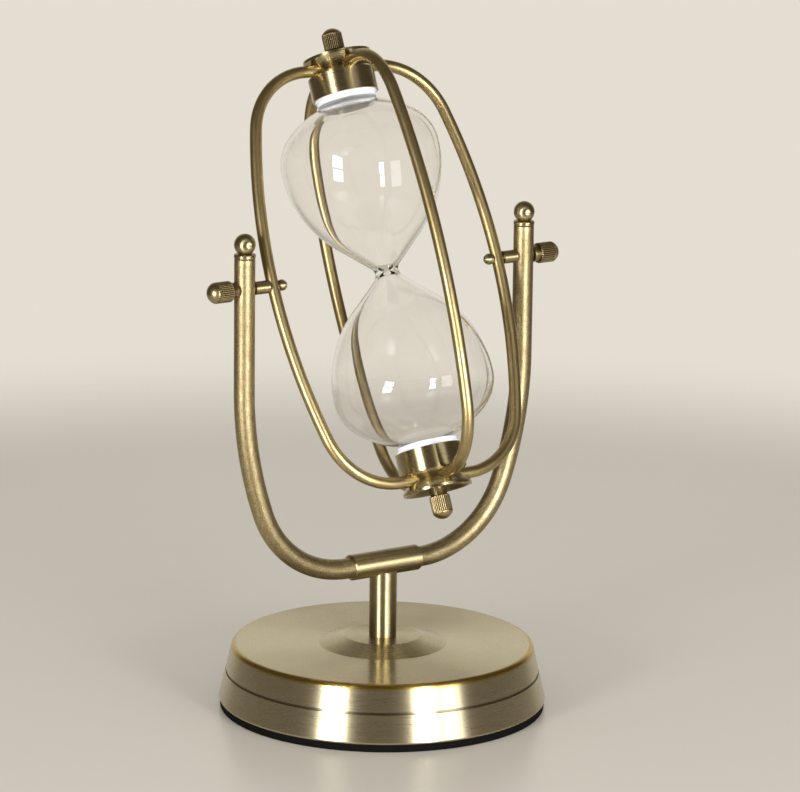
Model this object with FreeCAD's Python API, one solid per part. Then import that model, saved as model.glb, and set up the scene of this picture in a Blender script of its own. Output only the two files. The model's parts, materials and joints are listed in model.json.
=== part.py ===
# A brass gimbal hourglass: a weighted round base, a U-shaped yoke on a short post, and a caged glass
# that swings right over between two clamp screws. Millimetres, +Z up. The origin is the middle of the
# underside of the pad, X is the axis that the cage turns on, and -Y is the front.
import FreeCAD, Part
import math
import os

from FreeCAD import Vector

# Base
pad_diameter = 130.6
pad_thickness = 3.0
foot_diameter = 132.0
foot_lip_round = 0.9
top_diameter = 121.0
top_edge_round = 1.95
shell_height = 23.0
shell_wall = 1.5
top_round_per_wall = 1.3
lip_reach_per_wall = 0.8
groove_height = 12.0
groove_width = 0.9
groove_depth = 0.5
weight_side_clearance = 0.3
nut_pocket_diameter = 18.0
nut_pocket_depth = 9.0

# Boss and post
boss_foot_diameter = 51.6
boss_top_diameter = 30.6
boss_height = 3.1
post_diameter = 11.1
stud_diameter = 6.0
stud_hole_clearance = 0.2
stud_end_above_pad = 1.6
washer_diameter = 14.0
washer_thickness = 1.6
nut_across_flats = 10.0
nut_thickness = 5.0
thread_clearance = 0.02

# Yoke
sleeve_height = 59.0
sleeve_diameter = 10.3
sleeve_length = 32.0
sleeve_chamfer = 0.4
sleeve_bore_clearance = 0.02
saddle_depth = 3.2
braze_gap = 0.02
yoke_bar_diameter = 8.2
yoke_half_span = 66.2
yoke_flat_half_length = 17.8
yoke_side_radius = 150.0
yoke_side_turn = 20.0
yoke_top_height = 190.3

# Finials
collar_diameter = 8.5
collar_height = 1.7
collar_round = 0.5
finial_ball_diameter = 8.5
finial_ball_overlap = 0.6
finial_stud_diameter = 4.0
finial_stud_length = 7.0
finial_hole_extra_depth = 0.5

# Cage pivots
pivot_height = 177.9
shank_diameter = 2.4
shank_clearance = 0.06
knob_diameter = 8.3
knob_dome_height = 2.9
knob_grip_length = 6.9
knob_neck_diameter = 6.6
knob_neck_length = 2.6
knob_edge_chamfer = 0.3
seat_clearance = 0.1
spacer_diameter = 5.2
spacer_rod_clearance = 0.15
cap_ball_diameter = 4.5
cap_rod_clearance = 0.15
cap_thread_depth = 1.9
cap_face_offset = 1.4

# Cage
cage_tilt = 25.0
rod_diameter = 4.8
rod_half_width = 53.2
rod_side_radius = 235.0
rod_side_turn = 15.5
hub_height = 83.9
rod_inner_end = 5.0
rod_groove_clearance = 0.03
rod_end_clearance = 0.2
ring_rods = {"cage_rod_right": 0.0, "cage_rod_left": 180.0}
cross_rods = {"cage_rod_front": -99.0, "cage_rod_back": 81.0}

# Hubs, as heights from the middle of the cage
waist_diameter = 17.0
cup_diameter = 26.7
cup_corner_diameter = 25.0
cup_corner_drop = 1.5
cup_wall_drop = 2.4
cup_rim_height = 72.4
cup_wall = 0.8
cup_floor_thickness = 4.4
flange_diameter = 27.5
flange_rim_rise = 4.2
flange_rim_width = 0.8
flange_rim_land = 1.0
dish_floor_rise = 3.3
dish_floor_diameter = 9.6
dish_radius = 12.0
flare_radius = 9.0
hub_stud_diameter = 4.0
hub_hole_clearance = 0.1
hub_stud_head_diameter = 9.0
hub_stud_head_height = 1.2

# Thumb nuts on the hubs
nut_grip_diameter = 8.1
nut_dome_height = 2.5
nut_grip_length = 6.8
nut_neck_diameter = 6.8
nut_neck_length = 4.0
nut_seat_clearance = 0.1
nut_thread_end = 2.2
stud_end_gap = 0.3

# Grip flutes, shared by every knurled head
flute_count = 30
flute_depth = 0.22
flute_radius = 0.4

# Glass and its seats
bulb_diameter = 64.0
bulb_widest_height = 47.0
bulb_crown_rise = 23.5
bulb_shoulder_radius = 18.0
bulb_side_radius = 46.0
bulb_cone_half_angle = 47.0
neck_diameter = 9.4
glass_wall = 1.5
neck_bore_diameter = 2.4
seat_gap = 0.1
gasket_side_clearance = 0.1
gasket_lip_drop = 0.9
gasket_foot_drop = 2.4
gasket_lip_step = 0.6
gasket_head_clearance = 0.2

origin = Vector(0, 0, 0)
x_axis = Vector(1, 0, 0)
y_axis = Vector(0, 1, 0)
z_axis = Vector(0, 0, 1)

base_top = pad_thickness + shell_height
boss_top = base_top + boss_height
ceiling = base_top - shell_wall
stud_radius = stud_diameter / 2
stud_hole_radius = stud_radius + stud_hole_clearance
bar_radius = yoke_bar_diameter / 2
shank_radius = shank_diameter / 2
rod_radius = rod_diameter / 2
bulb_radius = bulb_diameter / 2
cup_floor = hub_height - cup_floor_thickness
dish_floor = hub_height + dish_floor_rise
flange_rim = hub_height + flange_rim_rise


def point(radius, height):
    return Vector(radius, 0, height)


def line(start, end):
    return Part.makeLine(point(*start), point(*end))


def arc(centre, start, end):
    """Arc of less than half a turn about a centre."""
    away = [(start[i] + end[i]) / 2 - centre[i] for i in (0, 1)]
    scale = math.dist(centre, start) / math.hypot(*away)
    middle = (centre[0] + away[0] * scale, centre[1] + away[1] * scale)
    return Part.Arc(point(*start), point(*middle), point(*end)).toShape()


def turned(edges):
    """Solid turned about Z from a closed chain of edges in the XZ half plane."""
    face = Part.Face(Part.Wire(Part.__sortEdges__(edges)))
    return face.revolve(origin, z_axis, 360)


def turned_outline(corners):
    """Solid turned about Z from the corners of a straight-sided outline."""
    closed = corners + [corners[0]]
    return turned([line(a, b) for a, b in zip(closed, closed[1:])])


def cylinder(radius, low, high):
    return Part.makeCylinder(radius, high - low, point(0, low), z_axis)


def ball(radius, height):
    return Part.makeSphere(radius, point(0, height))


def bow_centre(start, end, radius):
    """Centre of a bow between two points, on the left of the way from start to end for a radius above 0."""
    across = (end[0] - start[0], end[1] - start[1])
    chord = math.hypot(*across)
    reach = math.copysign(math.sqrt(radius ** 2 - chord ** 2 / 4), radius) / chord
    return ((start[0] + end[0]) / 2 - across[1] * reach, (start[1] + end[1]) / 2 + across[0] * reach)


def bent_bar(path, radius, start, direction):
    """Round bar of one radius along a tangent path."""
    section = Part.Wire(Part.makeCircle(radius, point(*start), direction))
    return Part.Wire(path).makePipeShell([section], True, True)


def on_pivot(shape, side):
    """Moves a piece built along +Z from the middle of the cage out to one end of the pivot axis."""
    moved = shape.copy()
    moved.rotate(origin, y_axis, 90 * side)
    moved.translate(Vector(0, 0, pivot_height))
    return moved


def in_cage(shape):
    """Leans a piece built about an upright cage into the cage's place at rest."""
    moved = shape.copy()
    moved.rotate(origin, x_axis, -cage_tilt)
    moved.translate(Vector(0, 0, pivot_height))
    return moved


def upturned(shape, side):
    """Leaves a top piece of the cage as it is, or turns it over for the bottom."""
    moved = shape.copy()
    if side < 0:
        moved.rotate(origin, x_axis, 180)
    return moved


def fluted(shape, radius, low, high):
    """Cuts the straight grip flutes round a turned head."""
    cutters = []
    for index in range(flute_count):
        angle = 2 * math.pi * index / flute_count
        away = radius + flute_radius - flute_depth
        foot = Vector(away * math.cos(angle), away * math.sin(angle), low)
        cutters.append(Part.makeCylinder(flute_radius, high - low, foot, z_axis))
    return shape.cut(Part.makeCompound(cutters))


def grip_head(radius, neck_radius, neck_foot, neck_length, grip_length, dome_height):
    """Domed, fluted head on a plain neck, as used by the clamp screws and the thumb nuts."""
    grip_foot = neck_foot + neck_length
    dome_foot = grip_foot + grip_length
    tip = dome_foot + dome_height
    dome_radius = (radius ** 2 + dome_height ** 2) / (2 * dome_height)
    edge = knob_edge_chamfer
    outline = [
        line((0, neck_foot), (neck_radius, neck_foot)),
        line((neck_radius, neck_foot), (neck_radius, grip_foot)),
        line((neck_radius, grip_foot), (radius - edge, grip_foot)),
        line((radius - edge, grip_foot), (radius, grip_foot + edge)),
        line((radius, grip_foot + edge), (radius, dome_foot)),
        arc((0, tip - dome_radius), (radius, dome_foot), (0, tip)),
        line((0, tip), (0, neck_foot)),
    ]
    return fluted(turned(outline), radius, grip_foot - edge, dome_foot)


# ---- Base


def base_pad():
    return cylinder(pad_diameter / 2, 0, pad_thickness)


def side_radius(height):
    """Outside radius of the tapered base at a height above the ground."""
    share = (height - pad_thickness) / shell_height
    return (foot_diameter + (top_diameter - foot_diameter) * share) / 2


def base_shell():
    foot = side_radius(pad_thickness)
    top = side_radius(base_top)
    outline = [
        (0, ceiling), (0, base_top), (top, base_top), (foot, pad_thickness),
        (foot - shell_wall, pad_thickness), (top - shell_wall, ceiling),
    ]
    shell = turned_outline(outline)
    rims = [edge for edge in shell.Edges if abs(edge.BoundBox.XLength - 2 * top) < 0.01]
    shell = shell.makeFillet(min(top_edge_round, shell_wall * top_round_per_wall), rims)
    feet = [edge for edge in shell.Edges if abs(edge.BoundBox.XLength - 2 * foot) < 0.01]
    lean = math.atan2(foot - top, shell_height)
    lip_limit = lip_reach_per_wall * shell_wall * math.tan((math.pi / 2 - lean) / 2)
    shell = shell.makeFillet(min(foot_lip_round, lip_limit), feet)
    middle = pad_thickness + groove_height
    low = middle - groove_width / 2
    high = middle + groove_width / 2
    groove = turned_outline([
        (side_radius(low) - groove_depth, low), (side_radius(low) + 1, low),
        (side_radius(high) + 1, high), (side_radius(high) - groove_depth, high),
    ])
    hole = cylinder(stud_hole_radius, ceiling - 1, base_top + 1)
    return shell.cut(groove).cut(hole)


def base_weight():
    inset = shell_wall + weight_side_clearance
    block = turned_outline([
        (0, pad_thickness), (side_radius(pad_thickness) - inset, pad_thickness),
        (side_radius(base_top) - inset, ceiling), (0, ceiling),
    ])
    pocket = cylinder(nut_pocket_diameter / 2, pad_thickness - 1, pad_thickness + nut_pocket_depth)
    return block.cut(pocket).cut(cylinder(stud_hole_radius, 0, base_top))


def base_washer():
    top = pad_thickness + nut_pocket_depth
    disc = cylinder(washer_diameter / 2, top - washer_thickness, top)
    return disc.cut(cylinder(stud_hole_radius, 0, base_top))


def base_nut():
    top = pad_thickness + nut_pocket_depth - washer_thickness
    corner = nut_across_flats / math.sqrt(3)
    corners = [
        Vector(corner * math.cos(math.radians(60 * i)), corner * math.sin(math.radians(60 * i)), top)
        for i in range(7)
    ]
    block = Part.Face(Part.makePolygon(corners)).extrude(Vector(0, 0, -nut_thickness))
    return block.cut(cylinder(stud_radius + thread_clearance, 0, base_top))


def post_boss():
    foot = boss_foot_diameter / 2
    top = boss_top_diameter / 2
    cone = turned_outline([(0, base_top), (foot, base_top), (top, boss_top), (0, boss_top)])
    return cone.cut(cylinder(stud_hole_radius, base_top - 1, boss_top + 1))


def post():
    column = cylinder(post_diameter / 2, boss_top, sleeve_height - saddle_depth)
    stud = cylinder(stud_radius, pad_thickness + stud_end_above_pad, boss_top + 1)
    sleeve = Part.makeCylinder(sleeve_diameter / 2 + braze_gap, 2 * post_diameter,
                               Vector(-post_diameter, 0, sleeve_height), x_axis)
    return column.fuse(stud).removeSplitter().cut(sleeve)


# ---- Yoke


def yoke_sleeve():
    tube = cylinder(sleeve_diameter / 2, -sleeve_length / 2, sleeve_length / 2)
    rims = [edge for edge in tube.Edges if edge.Closed]
    tube = tube.makeChamfer(sleeve_chamfer, rims)
    tube = tube.cut(cylinder(bar_radius + sleeve_bore_clearance, -sleeve_length, sleeve_length))
    tube.rotate(origin, y_axis, 90)
    tube.translate(Vector(0, 0, sleeve_height))
    return tube


def yoke_path():
    """Centre line of the yoke: two arms, and on each side a long easy bend into a tighter corner."""
    turn = math.radians(yoke_side_turn)
    knee_reach = yoke_half_span - yoke_side_radius * (1 - math.cos(turn))
    corner_radius = (knee_reach - yoke_flat_half_length) / math.cos(turn)
    corner_centre = (yoke_flat_half_length, sleeve_height + corner_radius)
    low = (yoke_flat_half_length, sleeve_height)
    knee = (knee_reach, corner_centre[1] - corner_radius * math.sin(turn))
    foot = (yoke_half_span, knee[1] + yoke_side_radius * math.sin(turn))
    side_centre = (yoke_half_span - yoke_side_radius, foot[1])
    top = (yoke_half_span, yoke_top_height)

    def across(corner):
        return (-corner[0], corner[1])

    return [
        line(across(top), across(foot)),
        arc(across(side_centre), across(foot), across(knee)),
        arc(across(corner_centre), across(knee), across(low)),
        line(across(low), low),
        arc(corner_centre, low, knee),
        arc(side_centre, knee, foot),
        line(foot, top),
    ]


def yoke_bar():
    bar = bent_bar(yoke_path(), bar_radius, (-yoke_half_span, yoke_top_height), z_axis)
    for side in (-1, 1):
        hole_radius = finial_stud_diameter / 2 + thread_clearance
        depth = finial_stud_length + finial_hole_extra_depth
        foot_point = Vector(side * yoke_half_span, 0, yoke_top_height - depth)
        bar = bar.cut(Part.makeCylinder(hole_radius, depth + 1, foot_point, z_axis))
        bore = cylinder(shank_radius + shank_clearance, yoke_half_span - bar_radius - 1,
                        yoke_half_span + bar_radius + 1)
        bar = bar.cut(on_pivot(bore, side))
    return bar


def finial(side):
    collar = cylinder(collar_diameter / 2, yoke_top_height, yoke_top_height + collar_height)
    rims = [edge for edge in collar.Edges if edge.Closed]
    collar = collar.makeFillet(collar_round, rims)
    radius = finial_ball_diameter / 2
    centre = yoke_top_height + collar_height + radius - finial_ball_overlap
    stud = cylinder(finial_stud_diameter / 2, yoke_top_height - finial_stud_length, yoke_top_height + 1)
    whole = collar.fuse([ball(radius, centre), stud]).removeSplitter()
    whole.translate(Vector(side * yoke_half_span, 0, 0))
    return whole


# ---- Pivots, built along +Z from the middle of the cage


def pivot_screw(side):
    neck_foot = yoke_half_span + bar_radius + seat_clearance
    head = grip_head(knob_diameter / 2, knob_neck_diameter / 2, neck_foot, knob_neck_length,
                     knob_grip_length, knob_dome_height)
    shank = cylinder(shank_radius, cap_face() - cap_thread_depth, neck_foot + knob_neck_length)
    return on_pivot(head.fuse(shank).removeSplitter(), side)


def pivot_spacer(side):
    inner_end = rod_half_width + rod_radius + spacer_rod_clearance
    outer_end = yoke_half_span - bar_radius - seat_clearance
    tube = cylinder(spacer_diameter / 2, inner_end, outer_end)
    return on_pivot(tube.cut(cylinder(shank_radius + shank_clearance, 0, yoke_half_span)), side)


def cap_face():
    """How far out the flat face of the ball cap stands, just inside the rod."""
    return rod_half_width - rod_radius - cap_rod_clearance


def pivot_cap(side):
    face = cap_face()
    whole = ball(cap_ball_diameter / 2, face - cap_face_offset)
    cap = whole.common(cylinder(cap_ball_diameter, face - cap_ball_diameter * 2, face))
    thread = cylinder(shank_radius + thread_clearance, face - cap_thread_depth - thread_clearance, face + 1)
    return on_pivot(cap.cut(thread), side)


# ---- Cage, built upright about its middle


def rod_path():
    """Centre line of a cage rod: out of one hub, round the side in a flat bow and into the other hub."""
    turn = math.radians(rod_side_turn)
    knee = (rod_half_width - rod_side_radius * (1 - math.cos(turn)), rod_side_radius * math.sin(turn))
    corner_radius = (hub_height - knee[1]) / (1 - math.sin(turn))
    bend_start = (knee[0] - corner_radius * math.cos(turn), hub_height)
    corner_centre = (bend_start[0], hub_height - corner_radius)
    side_centre = (rod_half_width - rod_side_radius, 0)
    inner = (rod_inner_end, hub_height)

    def below(corner):
        return (corner[0], -corner[1])

    return [
        line(inner, bend_start),
        arc(corner_centre, bend_start, knee),
        arc(side_centre, knee, below(knee)),
        arc(below(corner_centre), below(knee), below(bend_start)),
        line(below(bend_start), below(inner)),
    ]


def cage_rod(azimuth, drilled):
    rod = bent_bar(rod_path(), rod_radius, (rod_inner_end, hub_height), x_axis)
    if drilled:
        hole = cylinder(shank_radius + shank_clearance, rod_half_width - rod_radius - 1,
                        rod_half_width + rod_radius + 1)
        hole.rotate(origin, y_axis, 90)
        rod = rod.cut(hole)
    rod.rotate(origin, z_axis, azimuth)
    return in_cage(rod)


def rod_grooves(side):
    """Grooves that clamp the four rod ends between a cup and a flange, bent as the rods are."""
    radius = rod_radius + rod_groove_clearance
    grooves = []
    for azimuth in list(ring_rods.values()) + list(cross_rods.values()):
        end = cylinder(radius, rod_inner_end - rod_end_clearance, rod_inner_end)
        end.rotate(origin, y_axis, 90)
        end.translate(Vector(0, 0, side * hub_height))
        bar = bent_bar(rod_path(), radius, (rod_inner_end, hub_height), x_axis)
        for groove in (end, bar):
            groove.rotate(origin, z_axis, azimuth)
            grooves.append(groove)
    return Part.makeCompound(grooves)


def hub_cup(side):
    outer = cup_diameter / 2
    inner = outer - cup_wall
    hole = hub_stud_diameter / 2 + hub_hole_clearance
    cup = turned_outline([
        (hole, hub_height), (waist_diameter / 2, hub_height),
        (cup_corner_diameter / 2, hub_height - cup_corner_drop), (outer, hub_height - cup_wall_drop),
        (outer, cup_rim_height), (inner, cup_rim_height), (inner, cup_floor), (hole, cup_floor),
    ])
    return in_cage(upturned(cup, side).cut(rod_grooves(side)))


def hub_flange(side):
    outer = flange_diameter / 2
    hole = hub_stud_diameter / 2 + hub_hole_clearance
    rim_top = flange_rim + flange_rim_land
    lip = outer - flange_rim_width
    dish_edge = dish_floor_diameter / 2
    waist = waist_diameter / 2
    flange = turned([
        line((hole, hub_height), (waist, hub_height)),
        arc(bow_centre((waist, hub_height), (outer, flange_rim), flare_radius),
            (waist, hub_height), (outer, flange_rim)),
        line((outer, flange_rim), (outer, rim_top)),
        line((outer, rim_top), (lip, rim_top)),
        arc(bow_centre((lip, rim_top), (dish_edge, dish_floor), -dish_radius),
            (lip, rim_top), (dish_edge, dish_floor)),
        line((dish_edge, dish_floor), (hole, dish_floor)),
        line((hole, dish_floor), (hole, hub_height)),
    ])
    return in_cage(upturned(flange, side).cut(rod_grooves(side)))


def nut_neck_foot():
    return dish_floor + nut_seat_clearance


def nut_dome_foot():
    return nut_neck_foot() + nut_neck_length + nut_grip_length


def hub_stud(side):
    end = nut_dome_foot() - nut_thread_end - stud_end_gap
    stud = cylinder(hub_stud_diameter / 2, cup_floor - hub_stud_head_height / 2, end)
    head = cylinder(hub_stud_head_diameter / 2, cup_floor - hub_stud_head_height, cup_floor)
    return in_cage(upturned(stud.fuse(head).removeSplitter(), side))


def thumb_nut(side):
    head = grip_head(nut_grip_diameter / 2, nut_neck_diameter / 2, nut_neck_foot(), nut_neck_length,
                     nut_grip_length, nut_dome_height)
    thread = cylinder(hub_stud_diameter / 2 + hub_hole_clearance, nut_neck_foot() - 1,
                      nut_dome_foot() - nut_thread_end)
    return in_cage(upturned(head.cut(thread), side))


def gasket(side):
    outer = cup_diameter / 2 - cup_wall - gasket_side_clearance
    lip_top = cup_rim_height - gasket_lip_drop
    foot = cup_rim_height - gasket_foot_drop
    pad = turned_outline([
        (0, foot), (outer - gasket_lip_step, foot), (outer - gasket_lip_step, lip_top),
        (outer, lip_top), (outer, cup_floor), (0, cup_floor),
    ])
    head_pocket = cylinder(hub_stud_head_diameter / 2 + gasket_head_clearance,
                           cup_floor - hub_stud_head_height - gasket_head_clearance, cup_floor + 1)
    pad = pad.cut(glass_skin(-seat_gap, neck_diameter / 2)).cut(head_pocket)
    return in_cage(upturned(pad, side))


def glass_skin(inset, neck):
    """Two pear-shaped bulbs and the waisted neck between them, drawn in by one distance all over."""
    shoulder = (bulb_radius - bulb_shoulder_radius, bulb_widest_height)
    crown_radius = (bulb_radius ** 2 - 2 * bulb_radius * bulb_shoulder_radius + bulb_crown_rise ** 2)
    crown_radius /= 2 * (bulb_crown_rise - bulb_shoulder_radius)
    crown = (0, bulb_widest_height + bulb_crown_rise - crown_radius)
    share = (crown_radius - inset) / (crown_radius - bulb_shoulder_radius)
    crown_join = (shoulder[0] * share, crown[1] + (shoulder[1] - crown[1]) * share)
    top = (0, crown[1] + crown_radius - inset)
    widest = (bulb_radius - inset, bulb_widest_height)
    flank = (bulb_radius - bulb_side_radius, bulb_widest_height)
    cone = math.radians(bulb_cone_half_angle)
    away = (math.cos(cone), -math.sin(cone))
    cone_top = tuple(flank[i] + (bulb_side_radius - inset) * away[i] for i in (0, 1))
    # The neck curve touches the cone, and the neck's side at the middle.
    curve = ((neck - cone_top[0]) * away[0] - cone_top[1] * away[1]) / (1 - away[0])
    neck_centre = (neck + curve, 0)
    touch = tuple(neck_centre[i] - curve * away[i] for i in (0, 1))

    def below(corner):
        return (corner[0], -corner[1])

    half = [(crown, top, crown_join), (shoulder, crown_join, widest), (flank, widest, cone_top)]
    edges = [arc(*bow) for bow in half]
    edges += [arc(*[below(spot) for spot in bow]) for bow in half]
    edges += [line(cone_top, touch), line(below(cone_top), below(touch)), line(below(top), top)]
    return turned(edges + [arc(neck_centre, touch, below(touch))])


def glass():
    outside = glass_skin(0, neck_diameter / 2)
    inside = glass_skin(glass_wall, neck_bore_diameter / 2)
    return in_cage(outside.cut(inside))


sides = {"left": -1, "right": 1}
ends = {"top": 1, "bottom": -1}

nodes = {
    "base_pad": base_pad(),
    "base_shell": base_shell(),
    "base_weight": base_weight(),
    "base_washer": base_washer(),
    "base_nut": base_nut(),
    "post_boss": post_boss(),
    "post": post(),
    "yoke_sleeve": yoke_sleeve(),
    "yoke_bar": yoke_bar(),
    "glass": glass(),
}
for name, side in sides.items():
    nodes["finial_" + name] = finial(side)
    nodes["pivot_screw_" + name] = pivot_screw(side)
    nodes["pivot_spacer_" + name] = pivot_spacer(side)
    nodes["pivot_cap_" + name] = pivot_cap(side)
for name, side in ends.items():
    nodes["hub_cup_" + name] = hub_cup(side)
    nodes["hub_flange_" + name] = hub_flange(side)
    nodes["hub_stud_" + name] = hub_stud(side)
    nodes["thumb_nut_" + name] = thumb_nut(side)
    nodes["gasket_" + name] = gasket(side)
for name, azimuth in ring_rods.items():
    nodes[name] = cage_rod(azimuth, True)
for name, azimuth in cross_rods.items():
    nodes[name] = cage_rod(azimuth, False)

os.makedirs("parts", exist_ok=True)
for name, shape in nodes.items():
    if not shape.isValid() or len(shape.Solids) != 1:
        raise ValueError(f"{name} has {len(shape.Solids)} solids, valid {shape.isValid()}")
    shape.Solids[0].exportStep(f"parts/{name}.step")
print(f"{len(nodes)} nodes written")
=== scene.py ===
import json
import math

import bpy
import numpy as np
from mathutils import Euler, Matrix, Vector


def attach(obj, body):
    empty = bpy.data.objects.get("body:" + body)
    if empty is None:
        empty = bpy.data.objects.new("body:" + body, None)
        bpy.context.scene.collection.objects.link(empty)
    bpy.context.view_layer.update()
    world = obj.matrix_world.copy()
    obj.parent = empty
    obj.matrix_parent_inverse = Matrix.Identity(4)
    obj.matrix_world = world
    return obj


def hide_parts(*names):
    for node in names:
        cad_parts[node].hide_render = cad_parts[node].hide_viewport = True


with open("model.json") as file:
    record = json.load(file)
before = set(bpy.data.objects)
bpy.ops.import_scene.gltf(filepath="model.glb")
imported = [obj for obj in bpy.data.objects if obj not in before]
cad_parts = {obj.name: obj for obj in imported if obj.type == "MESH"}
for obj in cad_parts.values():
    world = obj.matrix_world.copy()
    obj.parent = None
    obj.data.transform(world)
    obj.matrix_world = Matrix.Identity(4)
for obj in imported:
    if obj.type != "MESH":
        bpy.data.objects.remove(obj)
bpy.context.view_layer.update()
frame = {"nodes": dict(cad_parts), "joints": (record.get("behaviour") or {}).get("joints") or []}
nodes = frame["nodes"]
joints = {joint["name"]: joint for joint in frame["joints"]}
print("frame loaded:", len(nodes), "nodes")

mm = 0.001
fullTurn = 2 * math.pi

pivot = np.array(joints["cage_turn"]["pos_m"])          # middle of the cage, on the clamp screws' line
cageUp = np.array(joints["top_nut_turn"]["axis"])       # the caged glass leans along this at rest
cageSide = np.array(joints["cage_turn"]["axis"])
cageFront = np.cross(cageUp, cageSide)                  # points from the cage's middle away from its front



def toLinear(hexColour):
    channels = [int(hexColour[i:i + 2], 16) / 255 for i in (1, 3, 5)]
    return [c / 12.92 if c <= 0.04045 else ((c + 0.055) / 1.055) ** 2.4 for c in channels] + [1.0]


def addNode(tree, kind, settings=None, inputs=None, links=None):
    # settings are the node's own switches, inputs are socket values, links are socket: (node, output)
    node = tree.nodes.new(kind)
    for key, value in (settings or {}).items():
        setattr(node, key, value)
    for key, value in (inputs or {}).items():
        node.inputs[key].default_value = value
    for key, (source, output) in (links or {}).items():
        tree.links.new(source.outputs[output], node.inputs[key])
    return node


def newMaterial(name):
    material = bpy.data.materials.new(name)
    material.use_nodes = True
    material.node_tree.nodes.clear()
    return material, material.node_tree


def finishMaterial(tree, shader):
    addNode(tree, "ShaderNodeOutputMaterial", links={"Surface": (shader, "BSDF")})


def gridSurface(points, startPole=False, endPole=False, closedRun=False, grain=None, hollow=None, flip=False):
    # points[i, j]: station i along the run, step j round the ring; rings always close on themselves
    stations, steps = points.shape[:2]
    index = np.arange(stations * steps).reshape(stations, steps)
    low = index if closedRun else index[:-1]
    high = np.roll(index, -1, 0) if closedRun else index[1:]
    quads = np.stack([low, np.roll(low, -1, 1), np.roll(high, -1, 1), high], -1)
    fans = []
    if startPole:
        fans.append(np.stack([np.full(steps, index[0, 0]), np.roll(index[1], -1), index[1]], -1))
        quads = quads[1:]
    if endPole:
        fans.append(np.stack([np.full(steps, index[-1, 0]), index[-2], np.roll(index[-2], -1)], -1))
        quads = quads[:-1]
    quads = quads.reshape(-1, 4)
    fans = np.concatenate(fans) if fans else np.zeros((0, 3), int)
    used, order = np.unique(np.concatenate([quads.ravel(), fans.ravel()]), return_inverse=True)
    quads, fans = order[:quads.size].reshape(-1, 4), order[quads.size:].reshape(-1, 3)
    flat = points.reshape(-1, 3)[used]
    halves = np.concatenate([quads[:, [0, 1, 2]], quads[:, [0, 2, 3]], fans])
    a, b, c = flat[halves[:, 0]], flat[halves[:, 1]], flat[halves[:, 2]]
    inside = np.einsum("ij,ij->i", a, np.cross(b, c)).sum() < 0          # signed volume says which way it faces
    if inside != flip:
        quads, fans = quads[:, ::-1], fans[:, ::-1]
    return {
        "points": flat, "faces": quads.tolist() + fans.tolist(),
        "grain": flat if grain is None else grain.reshape(-1, 3)[used],
        "hollow": np.zeros(len(flat)) if hollow is None else hollow.reshape(-1)[used],
    }


def makePiece(name, surfaces, material, body, stands, place=None, sharp=40):
    # joins closed surfaces into one piece, puts it in its place and hides the CAD node it stands for
    points, faces, offset = [], [], 0
    for surface in surfaces:
        points.append(surface["points"])
        faces += [[corner + offset for corner in face] for face in surface["faces"]]
        offset += len(surface["points"])
    points = np.concatenate(points)
    if place is not None:
        points = points @ place[0].T + place[1]
    mesh = bpy.data.meshes.new(name)
    mesh.from_pydata(points.tolist(), [], faces)
    grain = mesh.attributes.new("grain", "FLOAT_VECTOR", "POINT")
    grain.data.foreach_set("vector", np.concatenate([s["grain"] for s in surfaces]).ravel().astype(np.float32))
    hollow = mesh.attributes.new("hollow", "FLOAT", "POINT")
    hollow.data.foreach_set("value", np.concatenate([s["hollow"] for s in surfaces]).astype(np.float32))
    mesh.polygons.foreach_set("use_smooth", np.ones(len(faces), bool))
    mesh.set_sharp_from_angle(angle=math.radians(sharp))
    mesh.materials.append(material)
    piece = bpy.data.objects.new(name, mesh)
    bpy.context.scene.collection.objects.link(piece)
    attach(piece, body)
    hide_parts(*stands)
    return piece


def arcRun(centre, radius, start, end, steps):
    angle = np.radians(np.linspace(start, end, steps))
    return np.stack([centre[0] + radius * np.cos(angle), centre[1] + radius * np.sin(angle)], -1)


def joinRuns(*runs):
    # one run out of several that meet end to end, without the points that repeat
    run = np.concatenate([np.asarray(part, float) for part in runs])
    apart = np.linalg.norm(np.diff(run, axis=0), axis=1) > 1e-7
    return run[np.concatenate([[True], apart])]


def roundedRun(corners, rounds, steps=5):
    # every corner becomes an arc of its own radius: tangent length = radius * tan(turn / 2)
    corners, rounds = np.asarray(corners, float), np.asarray(rounds, float)
    before, after = corners[1:-1] - corners[:-2], corners[2:] - corners[1:-1]
    before /= np.linalg.norm(before, axis=1)[:, None]
    after /= np.linalg.norm(after, axis=1)[:, None]
    turn = np.arccos(np.clip((before * after).sum(1), -1, 1))
    reach = (rounds * np.tan(turn / 2))[:, None]
    enter, leave = corners[1:-1] - before * reach, corners[1:-1] + after * reach
    share = np.linspace(0, 1, steps)[None, :, None]
    # a quadratic bend between the tangent points, close to the arc for turns up to a right angle
    bend = (1 - share) ** 2 * enter[:, None] + 2 * share * (1 - share) * corners[1:-1][:, None] + share ** 2 * leave[:, None]
    return joinRuns(corners[:1], bend.reshape(-1, 2), corners[-1:])


def turnedSurface(run, steps, ripple=None, flip=False, closedRun=False, hollow=None):
    # a run of (radius, height) points carried round the Z axis; ripple is added to the radius
    angle = np.linspace(0, fullTurn, steps, endpoint=False)
    radius = np.repeat(run[:, :1], steps, 1)
    if ripple is not None:
        radius = radius + ripple
    height = np.repeat(run[:, 1:], steps, 1)
    points = np.stack([radius * np.cos(angle), radius * np.sin(angle), height], -1)
    onAxis = np.abs(run[:, 0]) < 1e-9
    return gridSurface(points, bool(onAxis[0]), bool(onAxis[-1]), closedRun, hollow=hollow, flip=flip)


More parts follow.
